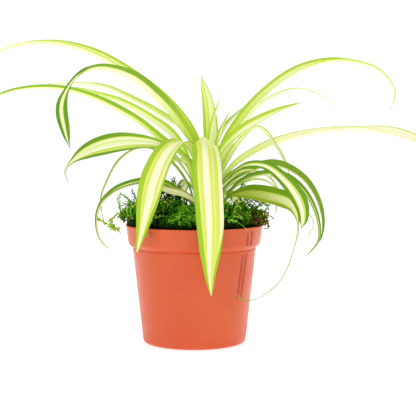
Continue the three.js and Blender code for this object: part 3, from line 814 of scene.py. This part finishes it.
# Each tone's slot, and its margin, darker margin, halo, stripe, middle, young margin and base.
LEAF_TONES = {
    "young": ("young_leaf", (158, 193, 47), (142, 182, 38), (214, 222, 98), (204, 216, 84),
              (243, 243, 210), (168, 200, 46), (160, 184, 56)),
    "lime": ("young_leaf", (182, 212, 64), (168, 202, 52), (220, 230, 112), (206, 224, 94),
             (244, 245, 208), (174, 208, 56), (164, 194, 58)),
    "mature": ("mature_leaf", (112, 154, 36), (96, 142, 28), (204, 220, 98), (192, 212, 84),
               (248, 248, 218), (166, 200, 50), (144, 168, 54)),
    "lime mature": ("mature_leaf", (126, 174, 28), (108, 158, 22), (208, 224, 96), (200, 218, 92),
                    (243, 243, 192), (158, 196, 42), (160, 186, 60)),
    "pale": ("pale_leaf", (196, 216, 106), (182, 206, 92), (234, 236, 168), (228, 234, 158),
             (245, 243, 214), (178, 210, 66), (176, 198, 80)),
    "olive": ("mature_leaf", (118, 154, 20), (104, 140, 14), (188, 200, 78), (178, 192, 70),
              (246, 243, 200), (160, 180, 48), (146, 164, 52)),
    "withered": ("withered_leaf", (176, 176, 84), (158, 156, 70), (226, 220, 166), (200, 192, 124),
                 (244, 238, 204), (170, 176, 78), (176, 168, 96)),
}

# Each leaf's tone; the share of each half that is green margin, how striped the middle is, how far
# the middle sits off the midrib, and how much the margins widen towards the tip; how lime its left
# margin stays, and how far along its margins are still young; then where across it bands run.
LEAF_LOOKS = {
    "leaf_high_left": ("lime", 0.24, 0.3, 0.04, -0.2, 0, 0.6),
    "leaf_left_twisted": ("mature", 0.4, 0.2, 0, 0.28, 0, 0.46, 0.85),
    "leaf_left_slim_back": ("pale", 0.4, 0.35, 0, -0.2, 0, 0.75, 0.2),
    "leaf_left_middle": ("lime", 0.34, 0.45, 0, 0.2, 0, 0.5),
    "leaf_left_long": ("lime mature", 0.54, 0.3, 0.05, 0, 0, 0.5),
    "leaf_left_broad": ("mature", 0.33, 0.6, 0.08, 0.1, 0, 0.7, 0.46),
    "leaf_left_slim_hanging": ("lime mature", 0.5, 0.2, 0, -0.2, 0, 0.12),
    "leaf_left_low": ("mature", 0.5, 0.2, 0.02, -0.3, 0, 0.12),
    "leaf_left_withered": ("withered", 0.26, 0.45, 0, 0, 0, 0.3),
    "leaf_front_left": ("young", 0.28, 0.35, 0.13, 0.17, 0.5, 0.5, -0.42, 0.46),
    "leaf_front": ("young", 0.05, 0.55, 0.3, 0.39, 0, 0.5, -0.44, 0.27, 0.62),
    "leaf_centre": ("lime", 0.28, 0.3, 0, -0.1, 0, 0.4, 0.42),
    "leaf_centre_right": ("lime", 0.4, 0.3, 0, 0, 0, 0.5),
    "leaf_centre_small": ("lime", 0.42, 0.3, 0, 0, 0, 0.5),
    "leaf_high_right": ("lime", 0.35, 0.2, 0, 0, 0, 0.5, 0.7),
    "leaf_right_short": ("young", 0.45, 0.5, 0, 0, 0, 0.5),
    "leaf_right_slim_back": ("pale", 0.24, 0.3, 0, 0, 0, 0.4),
    "leaf_right_pointed": ("lime", 0.44, 0.2, 0, 0.1, 0, 0.5),
    "leaf_right_bent": ("pale", 0.28, 0.3, 0, 0, 0, 0.4),
    "leaf_right_long": ("pale", 0.1, 0.2, 0, 0, 0, 0.3),
    "leaf_right_outer": ("mature", 0.74, 0.1, 0.05, 0.07, 0, 0.14),
    "leaf_right_striped": ("mature", 0.54, 0.15, 0, 0, 0, 0.14, 0.3),
    "leaf_right_stub": ("olive", 0.4, 0.75, 0, 0, 0, 0.3),
    "leaf_right_low": ("olive", 0.5, 0.05, -0.04, 0.5, 0.7, 0.2),
    "leaf_right_inner": ("mature", 0.52, 0.25, 0, 0, 0, 0.14),
    "leaf_right_kinked": ("pale", 0.3, 0.2, 0, 0, 0, 0.4),
    "leaf_right_pale": ("pale", 0.26, 0.2, 0, 0, 0, 0.4),
    "leaf_right_arc": ("lime", 0.34, 0.2, 0, 0, 0, 0.4),
    "leaf_back": ("young", 0.28, 0.5, 0, 0, 0, 0.5, 0.3),
    "leaf_back_left": ("mature", 0.36, 0.35, 0, 0, 0, 0.3, -0.3, 0.3),
    "leaf_back_low": ("mature", 0.36, 0.3, 0, 0, 0, 0.3, 0.3),
    "leaf_back_right": ("mature", 0.36, 0.35, 0, 0, 0, 0.3, -0.2),
}
NO_BANDS = (9, 9, 9)  # off the blade


def make_leaves():
    """Every leaf, on its packed blade's rails."""
    materials = {tone: leaf_material(tone + " leaf", colours)
                 for tone, (_, *colours) in LEAF_TONES.items()}
    for index, (node, row) in enumerate(LEAF_LOOKS.items()):
        tone, margin, stripes, offset, widening, near, reach, *bands = row
        part, place, metres = leaf_surface(node, FIRST_LEAF_SEED + index)
        piece = new_piece(node + "_blade", part, materials[tone], LEAF_TONES[tone][0], node)
        add_numbers(piece, "place", place)
        add_numbers(piece, "widening", np.full(len(place), widening))
        vectors = {"look": (margin, stripes, offset), "bands": (*bands, *NO_BANDS)[:3],
                   "kind": (0.37 * index + 0.11, near, reach)}
        for name, vector in vectors.items():
            add_numbers(piece, name, np.tile(vector, (len(place), 1)))
        add_map(piece, "blade", metres)


# ---- Moss ----

# Bearings that a cushion fills, its reach and its top, all as packed, in degrees and
# millimetres; then how it grows: how many short strands, their length, tint range and leaflets
# for each; how many long stray strands, their length and tint range, and the same for its
# thicker and barer vines; how lumpy the cushion is, and the share of strands that have dried.
# The leaflets' lengths are those on its short strands, and shaded is how much darker those
# strands are where its bearings begin.
# Kind dark gives a darker copy of the moss material: painted shade for cushions that lie in shade.
USUAL = dict(reach=48, top=103, kind="green", lumps=1.2, leaflet=(1.0, 2.2), shaded=0)
BACK_SIDE = dict(
    USUAL, kind="dark", short=(400, 5, 11, 0.1, 0.6, 4), stray=(30, 12, 24, 0.4, 0.9),
    vine=(10, 14, 26, 0.6, 1.0), lumps=1.0, dried=0.1)
MOSS = {
    "moss_front": dict(
        USUAL, span=(237, 277), top=109, short=(560, 2.4, 5.6, 0.36, 0.96, 8),
        stray=(8, 8, 14, 0.5, 0.9), vine=(2, 10, 14, 0.7, 1.0), lumps=1.3, dried=0,
        leaflet=(1.4, 3.0), shaded=0.7),
    "moss_front_left": dict(
        USUAL, span=(209, 237), reach=47, top=101, kind="dark", short=(320, 5, 10, 0, 0.22, 4),
        stray=(12, 10, 22, 0.3, 0.8), vine=(6, 14, 26, 0.6, 1.0), lumps=0.9, dried=0.12),
    "moss_left": dict(
        USUAL, span=(159, 209), reach=56, top=112, short=(400, 3, 8, 0.1, 0.86, 5),
        stray=(60, 10, 22, 0.55, 1.0), vine=(40, 12, 24, 0.8, 1.25), dried=0.2),
    "moss_back_left": dict(BACK_SIDE, span=(114, 159), top=104),
    "moss_back": dict(
        USUAL, span=(68, 114), short=(600, 3, 8, 0.3, 0.85, 5),
        stray=(24, 12, 22, 0.5, 1.0), vine=(8, 12, 20, 0.7, 1.0), lumps=1.0, dried=0.04),
    "moss_back_right": dict(BACK_SIDE, span=(22, 68)),
    "moss_right": dict(
        USUAL, span=(-24, 22), reach=54, short=(400, 3, 8, 0.04, 0.72, 5),
        stray=(60, 10, 22, 0.4, 0.9), vine=(22, 12, 26, 0.6, 1.0), dried=0.16),
    "moss_front_right": dict(
        USUAL, span=(277, 336), top=109, short=(520, 3, 9, 0.02, 0.8, 5),
        stray=(70, 10, 24, 0.4, 0.9), vine=(34, 12, 28, 0.65, 1.1), lumps=1.4, dried=0.14),
}

# Runners that grow out beyond a cushion, as packed: how many leaflets each carries, their
# shortest and longest, how thick the runner is, its tint, and its course.
RUNNERS = {
    "moss_left": [
        (36, 2, 4, 0.7, 1.5,
         [(-50, -6, 97), (-56, -9, 99), (-61, -11, 96), (-63, -12, 92), (-62, -13, 88)]),
        (40, 2.4, 5, 0.9, 1.9,
         [(-60, -12, 91), (-62, -13, 89), (-60, -13, 87.5), (-57, -13, 86.5)]),
        (26, 2.2, 4.4, 0.8, 1.9,
         [(-62, -13, 89.5), (-66, -13, 91.5), (-69, -13, 93), (-73, -13, 95)]),
        (24, 1.6, 3.2, 0.55, 0.8, [(-45, -4, 104), (-52, -5, 111), (-58, -5, 114)]),
        (20, 1.6, 3, 0.55, 0.5, [(-43, -6, 104), (-45, -5, 111), (-48, -5, 117)])],
    "moss_front_left": [
        (10, 1, 2.2, 0.6, 1.1,
         [(-36, -36, 93), (-38, -39.5, 93.5), (-37.5, -41.5, 89), (-36, -42.5, 85.5),
          (-34, -43.2, 84.5), (-33.4, -43.3, 86.5), (-35, -42.6, 87.5)]),
        (10, 1.4, 2.6, 0.9, 1, [(-32, -34, 92), (-30, -38, 96), (-26, -40, 98.5), (-21, -40, 99)])],
    "moss_front": [
        (40, 2, 4.2, 0.7, 0.4, [(-8, -18, 96), (-6, -15, 104), (-5, -13, 112)]),
        (40, 2, 4.2, 0.7, 0.3, [(-12, -16, 96), (-11, -13, 104), (-10, -11, 110)])],
    "moss_back_left": [
        (90, 2.2, 4.6, 0.7, 0.6, [(-14, 16, 98), (-17, 10, 109), (-17, 6, 117), (-15, 5, 126)]),
        (80, 2.2, 4.6, 0.7, 0.5, [(-22, 14, 98), (-22, 8, 107), (-20, 5, 113), (-19, 5, 119)]),
        (70, 2.2, 4.6, 0.7, 0.5, [(-10, 18, 98), (-12, 12, 108), (-13, 8, 114), (-11, 7, 120)]),
        (80, 2.6, 5.2, 0.7, 0.25, [(-28, 12, 98), (-27, 7, 108), (-25, 5, 114), (-24, 5, 119)]),
        (60, 2.6, 5.2, 0.7, 0.22, [(-26, 6, 98), (-23, 1, 106), (-20, 0, 112), (-17, 0, 115)]),
        (60, 2.6, 5.2, 0.7, 0.22, [(-18, 6, 98), (-15, 2, 106), (-12, 1, 112), (-10, 0, 116)])],
    "moss_right": [
        (16, 1.4, 2.6, 0.5, 1,
         [(34, -16, 102), (38, -14, 108), (43, -12.5, 111), (45, -12, 114.5),
          (47, -12, 115.5), (48.6, -12, 114), (47.6, -12, 112), (45.6, -12, 112.4)]),
        (16, 1.4, 3, 0.5, 0.8, [(40, -6, 98), (45, -9, 106), (49, -10, 109), (52, -10, 106)]),
        (16, 1.4, 3, 0.5, 0.7, [(50, -4, 95), (56, -6, 97), (61, -7, 94)]),
        (70, 2.4, 4.8, 0.6, 0.7,
         [(38, 5, 98), (35, 6, 110), (35, 6, 117), (39, 6, 123), (43, 6, 129)]),
        (60, 1.8, 3.8, 0.5, 0.75, [(36, 0, 99), (40, -3, 106), (45, -5, 109), (50, -5, 108)]),
        (60, 1.8, 3.8, 0.5, 0.8, [(34, 2, 99), (37, 0, 107), (42, -2, 111), (47, -3, 111)]),
        (50, 1.8, 3.6, 0.5, 0.75, [(44, 2, 98), (48, -1, 104), (53, -3, 106), (57, -4, 104)])],
    "moss_front_right": [
        (3, 1, 2, 0.4, 0.85,
         [(27, -36, 93), (31, -40, 94.5), (35, -42, 93), (38.5, -40.5, 89.5), (40.5, -38.5, 86),
          (41, -38, 83)]),
        (12, 1.4, 2.6, 0.7, 1.05, [(20, -34, 92), (21, -34, 103), (24, -32, 111), (23, -31, 117)]),
        (12, 1.4, 2.6, 0.7, 1, [(30, -32, 92), (30, -32, 101), (33, -30, 108), (38, -29, 110)])],
}
CROWN_OFFSET, CROWN_CLEAR = 11, 14.6
# The heart is given the darkest tint: painted shade deep inside the cushion.
HEART_GRID, HEART_REACH, HEART_SHADE_TINT = 34, 52, 0.05
FURTHEST, INSIDE_RIM, OUTSIDE_RIM = 57, 50.4, 55
RIM_CLEAR, LOWEST_OUTSIDE = 91, 89
BARK_ROOM = 6.5
NUDGE = 0.02  # to the neighbours that show which way a cushion faces


def lumpiness(flat):
    """The hollows and swellings that all the cushions share, about -1 to 1."""
    return rough(flat, 13, 31) * 0.6 + rough(flat, 5, 32) * 0.5


def crown_edge(angle):
    """Distance from the pot's axis, along an angle, to the ring kept clear for the crown."""
    aside = CROWN_OFFSET * np.sin(angle)
    return CROWN_OFFSET * np.cos(angle) + np.sqrt(CROWN_CLEAR**2 - aside**2)


def cushion_point(clump, outward, around):
    """A cushion's dome: outward and around go from 0 to 1 over its span, and it rises from the
    soil by the power of a sine each way, with lumps. Returns the points on it, and the height
    that each rests on."""
    first, last = clump["span"]
    angle = np.radians(first + (last - first) * around)
    radius = crown_edge(angle) * (1 - outward) + clump["reach"] * outward
    rest = soil_height(np.minimum(radius, POT.collar)) + 0.3
    rest = rest + (POT.height + 0.6 - rest) * ramp(radius, 40, 46)
    dome = (np.clip(np.sin(np.pi * outward), 0, 1) * np.clip(np.sin(np.pi * around), 0, 1)) ** 0.4
    lumps = clump["lumps"] * 0.2 * lumpiness(round_axis(radius, angle, 0))
    top = rest + 1.6 + (clump["top"] - rest - 5.5) * dome * (0.9 + lumps)
    return round_axis(radius, angle, top), rest


def cushion_body(clump):
    """The dense heart of a cushion: the dome above, and the soil's slope below."""
    clump = dict(clump, reach=min(clump["reach"], HEART_REACH))
    outward, around = np.linspace(0, 1, HEART_GRID), np.linspace(0.02, 0.98, HEART_GRID)
    top, rest = cushion_point(clump, outward[:, None], around)
    base = top.copy()
    base[..., 2] = rest
    top[..., 2] -= 1.0
    return closed_tube(np.concatenate([top, base[:, ::-1]], axis=1) * MM)


def kept_clear(courses):
    """Strands that reach too far from the pot's axis are drawn in to a third of the way beyond.
    Near the rim's height and below, they then stay inside it or, outside it, are lifted to just
    under its top."""
    reach = axis_distance(courses)
    near = (FURTHEST + (reach - FURTHEST) / 3) / np.maximum(reach, 1)
    courses[..., :2] *= np.where(reach > FURTHEST, near, 1)[..., None]
    reach = axis_distance(courses)
    height = courses[..., 2]
    low = height < RIM_CLEAR
    inside = low & (reach > INSIDE_RIM) & (reach < OUTSIDE_RIM)
    courses[..., :2] *= np.where(inside, INSIDE_RIM / reach, 1)[..., None]
    outside = low & (reach >= OUTSIDE_RIM)
    courses[..., 2] = np.where(outside, np.maximum(height, LOWEST_OUTSIDE), height)
    return courses


def grown(roots, heading, length, steps, curl, droop, draw):
    """Strand courses: at each step the heading turns about an axis that wanders, then sags."""
    count = len(roots)
    axis = unit(draw.normal(size=(count, 3)))
    course = [roots]
    for _ in range(steps):
        axis = unit(axis + 0.45 * draw.normal(size=(count, 3)))
        heading = unit(heading + curl * np.cross(axis, heading) - (0, 0, droop))
        course.append(course[-1] + heading * (length / steps)[:, None])
    return kept_clear(np.stack(course, axis=1))


def strand_tubes(courses, radius):
    """Three-sided tubes (strands, steps, 3) that taper to their tips. Each has a triangle at both
    ends, and its sides wind outwards."""
    count, steps, _ = courses.shape
    forward = unit(np.gradient(courses, axis=1))
    aside = unit(np.cross(forward, np.array([0.31, 0.23, 0.92])))
    above = np.cross(aside, forward)
    taper = 1 - 0.8 * np.linspace(0, 1, steps) ** 1.6
    angle = full_turn(3)[:, None]
    ring = aside[:, :, None] * np.cos(angle) + above[:, :, None] * np.sin(angle)
    points = courses[:, :, None] + ring * (radius[:, None] * taper)[:, :, None, None]
    last = 3 * steps - 1
    quads = repeated(grid_quads(steps, 3)[:, ::-1], count, 3 * steps)
    ends = repeated([(0, 1, 2), (last, last - 1, last - 2)], count, 3 * steps)
    return points.reshape(-1, 3), quads, ends


def leaflets(courses, owner, length, draw):
    """Small blades along strands: each leaves its strand at a slant and bends back a little."""
    step = draw.integers(1, courses.shape[1] - 1, len(owner))
    root = courses[owner, step]
    forward = unit(courses[owner, step + 1] - root)
    aside = unit(np.cross(forward, draw.normal(size=root.shape)))
    first = root + unit(forward * 0.5 + aside) * length[:, None] * 0.5
    second = first + unit(forward + aside * 0.6) * length[:, None] * 0.5
    return np.stack([root, first, second], axis=1)


def bark_distance(points):
    """How far points are from the upright line through the middle of the bark chip."""
    return np.linalg.norm(points[..., :2] - middle_of("bark_chip")[:2], axis=-1)


def short_strands(clump, draw):
    """The pile of a cushion: roots spread over its dome, with painted shade that makes it darker in
    its hollows.
    """
    count, shortest, longest, darkest, brightest, each = clump["short"]
    outward, around = draw.uniform(0.02, 1, count), draw.uniform(0, 1, count)
    roots, ahead, aside = (
        cushion_point(clump, np.minimum(outward + out, 1), np.minimum(around + on, 1))[0]
        for out, on in ((0, 0), (NUDGE, 0), (0, NUDGE)))
    normal = unit(np.cross(ahead - roots, aside - roots) + (0, 0, 1e-6))
    normal *= np.sign(normal[:, 2:])
    heading = unit(normal * 0.9 + draw.normal(size=(count, 3)) * 0.7)
    by_bark = bark_distance(roots) < BARK_ROOM
    heading[by_bark] = unit(heading[by_bark] - (0, 0, 1.4))
    length = draw.uniform(shortest, longest, count)
    courses = grown(roots - normal * 0.8, heading, length, 6, 0.5, 0.03, draw)
    # Painted shade: strands in the cushion's hollows are darker, those on its lumps lighter.
    patch = 0.5 + 0.5 * lumpiness(roots * (1, 1, 0))
    bright = np.clip(0.8 * patch + draw.normal(0, 0.2, count) + 0.08, 0, 1)
    tint = darkest + (brightest - darkest) * bright
    tint *= 1 - clump["shaded"] * (1 - ramp(around, 0.2, 0.42))
    return courses, draw.uniform(0.4, 0.66, count), tint, each


def long_strands(clump, kind, draw):
    """Long strands, stray or vine, that curl up out of a cushion and over its edge."""
    count, shortest, longest, darkest, brightest = clump[kind]
    outward, around = draw.uniform(0.15, 1, count), draw.uniform(0.02, 0.98, count)
    roots, _ = cushion_point(clump, outward, around)
    heading = unit(unit(roots * (1, 1, 0)) * 0.5 + (0, 0, 0.8) + draw.normal(size=(count, 3)) * 0.5)
    length = draw.uniform(shortest, longest, count)
    courses = grown(roots - (0, 0, 1), heading, length, 14, 0.42, 0.07, draw)
    return courses, draw.uniform(0.36, 0.6, count), draw.uniform(darkest, brightest, count)


def strand_sets(node, clump, draw):
    """A cushion's pile, strays, vines and runners, each made as it is asked for: the courses, the
    radius and tint of each strand, how many leaflets it carries, their shortest and longest, and
    the share of strands that have dried."""
    dried = clump["dried"]
    yield *short_strands(clump, draw), clump["leaflet"], dried
    yield *long_strands(clump, "stray", draw), 10, (1.2, 2.6), dried * 1.5
    courses, radius, tint = long_strands(clump, "vine", draw)
    yield courses, radius + 0.25, tint, 7, (1.4, 2.8), dried
    for each, shortest, longest, thick, tone, course in RUNNERS.get(node, []):
        course = smooth_through(np.array(course, dtype=float), 5)[None]
        yield course, np.array([thick]), np.array([tone]), each, (shortest, longest), 0


def make_moss(materials):
    """Every cushion: its heart, its strands and runners, and their leaflets, in one piece that
    carries each point's tint, which holds painted shade, and how dry it is."""
    for index, (node, clump) in enumerate(MOSS.items()):
        draw = np.random.default_rng(FIRST_MOSS_SEED + index)
        parts = [cushion_body(clump)]
        heart = np.ones(len(parts[0][0]))
        # The heart takes the painted shade tint.
        tints, dries = [HEART_SHADE_TINT * heart], [0 * heart]
        for courses, radius, tint, each, leaflet, dried in strand_sets(node, clump, draw):
            count, steps, _ = courses.shape
            share = dried + 0.8 * (1 - ramp(bark_distance(courses[:, 0]), 6, 15))
            dry = (draw.uniform(size=count) < share) * draw.uniform(0.4, 1, count)
            owner = np.repeat(np.arange(count), each)
            sprays = leaflets(courses, owner, draw.uniform(*leaflet, len(owner)), draw)
            parts += [strand_tubes(courses * MM, radius * MM),
                      strand_tubes(sprays * MM, radius[owner] * 0.8 * MM)]
            # Painted shade: each strand is darker at its root, deep in the cushion, and lighter
            # towards its tip.
            root_to_tip_shade = np.linspace(0.4, 1.2, steps)
            fleck = tint[owner] * draw.uniform(0.5, 1.4, len(owner))
            tints += [np.repeat((tint[:, None] * root_to_tip_shade).ravel(), 3), np.repeat(fleck, 9)]
            dries += [np.repeat(dry, 3 * steps), np.repeat(dry[owner], 9)]
        slot = "moss" if clump["kind"] == "green" else "dark_moss"
        piece = new_piece(node + "_growth", join_parts(parts), materials[clump["kind"]], slot, node)
        add_numbers(piece, "tint", np.concatenate(tints))
        add_numbers(piece, "dry", np.concatenate(dries))


# ---- Studio ----

FLOOR_RINGS = np.array([0.05, 0.3, 1, 3, 9])[:, None]
FLOOR_SIDES, FLOOR_HEIGHT = 96, -0.0002
LAMP_SIZE = 0.8


def make_floor():
    """A wide pale floor that the plant stands on: rings of quads round a fan of triangles."""
    rings = round_axis(FLOOR_RINGS, full_turn(FLOOR_SIDES), FLOOR_HEIGHT)
    points = np.concatenate([rings.reshape(-1, 3), [(0, 0, FLOOR_HEIGHT)]])
    here = np.arange(FLOOR_SIDES)
    fan = np.stack([np.full(FLOOR_SIDES, len(points) - 1), here, (here + 1) % FLOOR_SIDES], axis=-1)
    floor = solid("floor", (points, grid_quads(len(rings), FLOOR_SIDES)[:, ::-1], fan))
    material, _, shader = new_material("floor paper", 0.8, 0.1)
    shader["Base Color"].default_value = (0.93, 0.93, 0.93, 1)
    shader["Emission Color"].default_value = WHITE
    shader["Emission Strength"].default_value = 0.5
    floor.data.materials.append(material)


def soft_light(name, place, target, power):
    """A square soft light at a place, turned to a target."""
    lamp = bpy.data.lights.new(name, "AREA")
    lamp.shape, lamp.size, lamp.energy = "SQUARE", LAMP_SIZE, power
    light = in_scene(name, lamp)
    light.location = place
    light.rotation_euler = (Vector(target) - Vector(place)).to_track_quat("-Z", "Y").to_euler()


def make_studio():
    """White surroundings, three soft lights and the camera."""
    scene = bpy.context.scene
    scene.view_settings.view_transform = "Standard"
    world = bpy.data.worlds.new("white studio")
    world.use_nodes = True
    tree = world.node_tree
    tree.nodes.clear()
    lit, seen = (wired("Background", {"Color": WHITE, "Strength": strength}, tree=tree)
                 for strength in (0.56, 1.1))
    to_camera = wired("LightPath", (), "Is Camera Ray", tree)
    out = tree.nodes.new("ShaderNodeOutputWorld")
    put(wired("MixShader", {0: to_camera, 1: lit, 2: seen}), out.inputs["Surface"])
    scene.world = world

    middle = (0.0, 0.0, 0.11)
    soft_light("key light", (-0.75, -0.95, 0.95), middle, 5)
    soft_light("fill light", (0.95, -0.7, 0.5), middle, 1.5)
    soft_light("back light", (0.3, 0.95, 0.8), middle, 6)

    camera = bpy.data.cameras.new("camera")
    camera.lens, camera.sensor_width, camera.sensor_fit = 89.37, 36, "HORIZONTAL"
    camera.clip_start, camera.clip_end = 0.02, 60
    eye = in_scene("camera", camera)
    eye.location = (0.010444, -0.790, 0.1565)
    eye.rotation_euler = (math.pi / 2 - 0.0683, 0, 0)
    scene.camera = eye


# ---- The plant ----

make_pot(pot_material())
make_soil(mottled_material("potting soil", (46, 34, 22), (18, 13, 9), (84, 62, 40),
                           120.0, 900.0, 0.9, 0.9, 0.2, 0.0006))
make_crown(mottled_material("crown flesh", (172, 194, 92), (130, 156, 54), (236, 240, 200),
                            90.0, 500.0, 0.6, 0.5, 0.4, 0.0001))
make_bark(mottled_material("bark fibre", (96, 58, 30), (48, 28, 14), (140, 92, 52),
                           160.0, 800.0, 0.9, 0.85, 0.2, 0.0005))
make_leaves()
make_moss({
    "green": moss_material("green moss", (16, 34, 2), (62, 140, 8), (106, 204, 36), (192, 224, 84)),
    # The green moss made darker: painted shade.
    "dark": moss_material("shaded moss", (12, 24, 2), (44, 96, 6), (90, 160, 22), (172, 206, 76)),
})
make_floor()
make_studio()
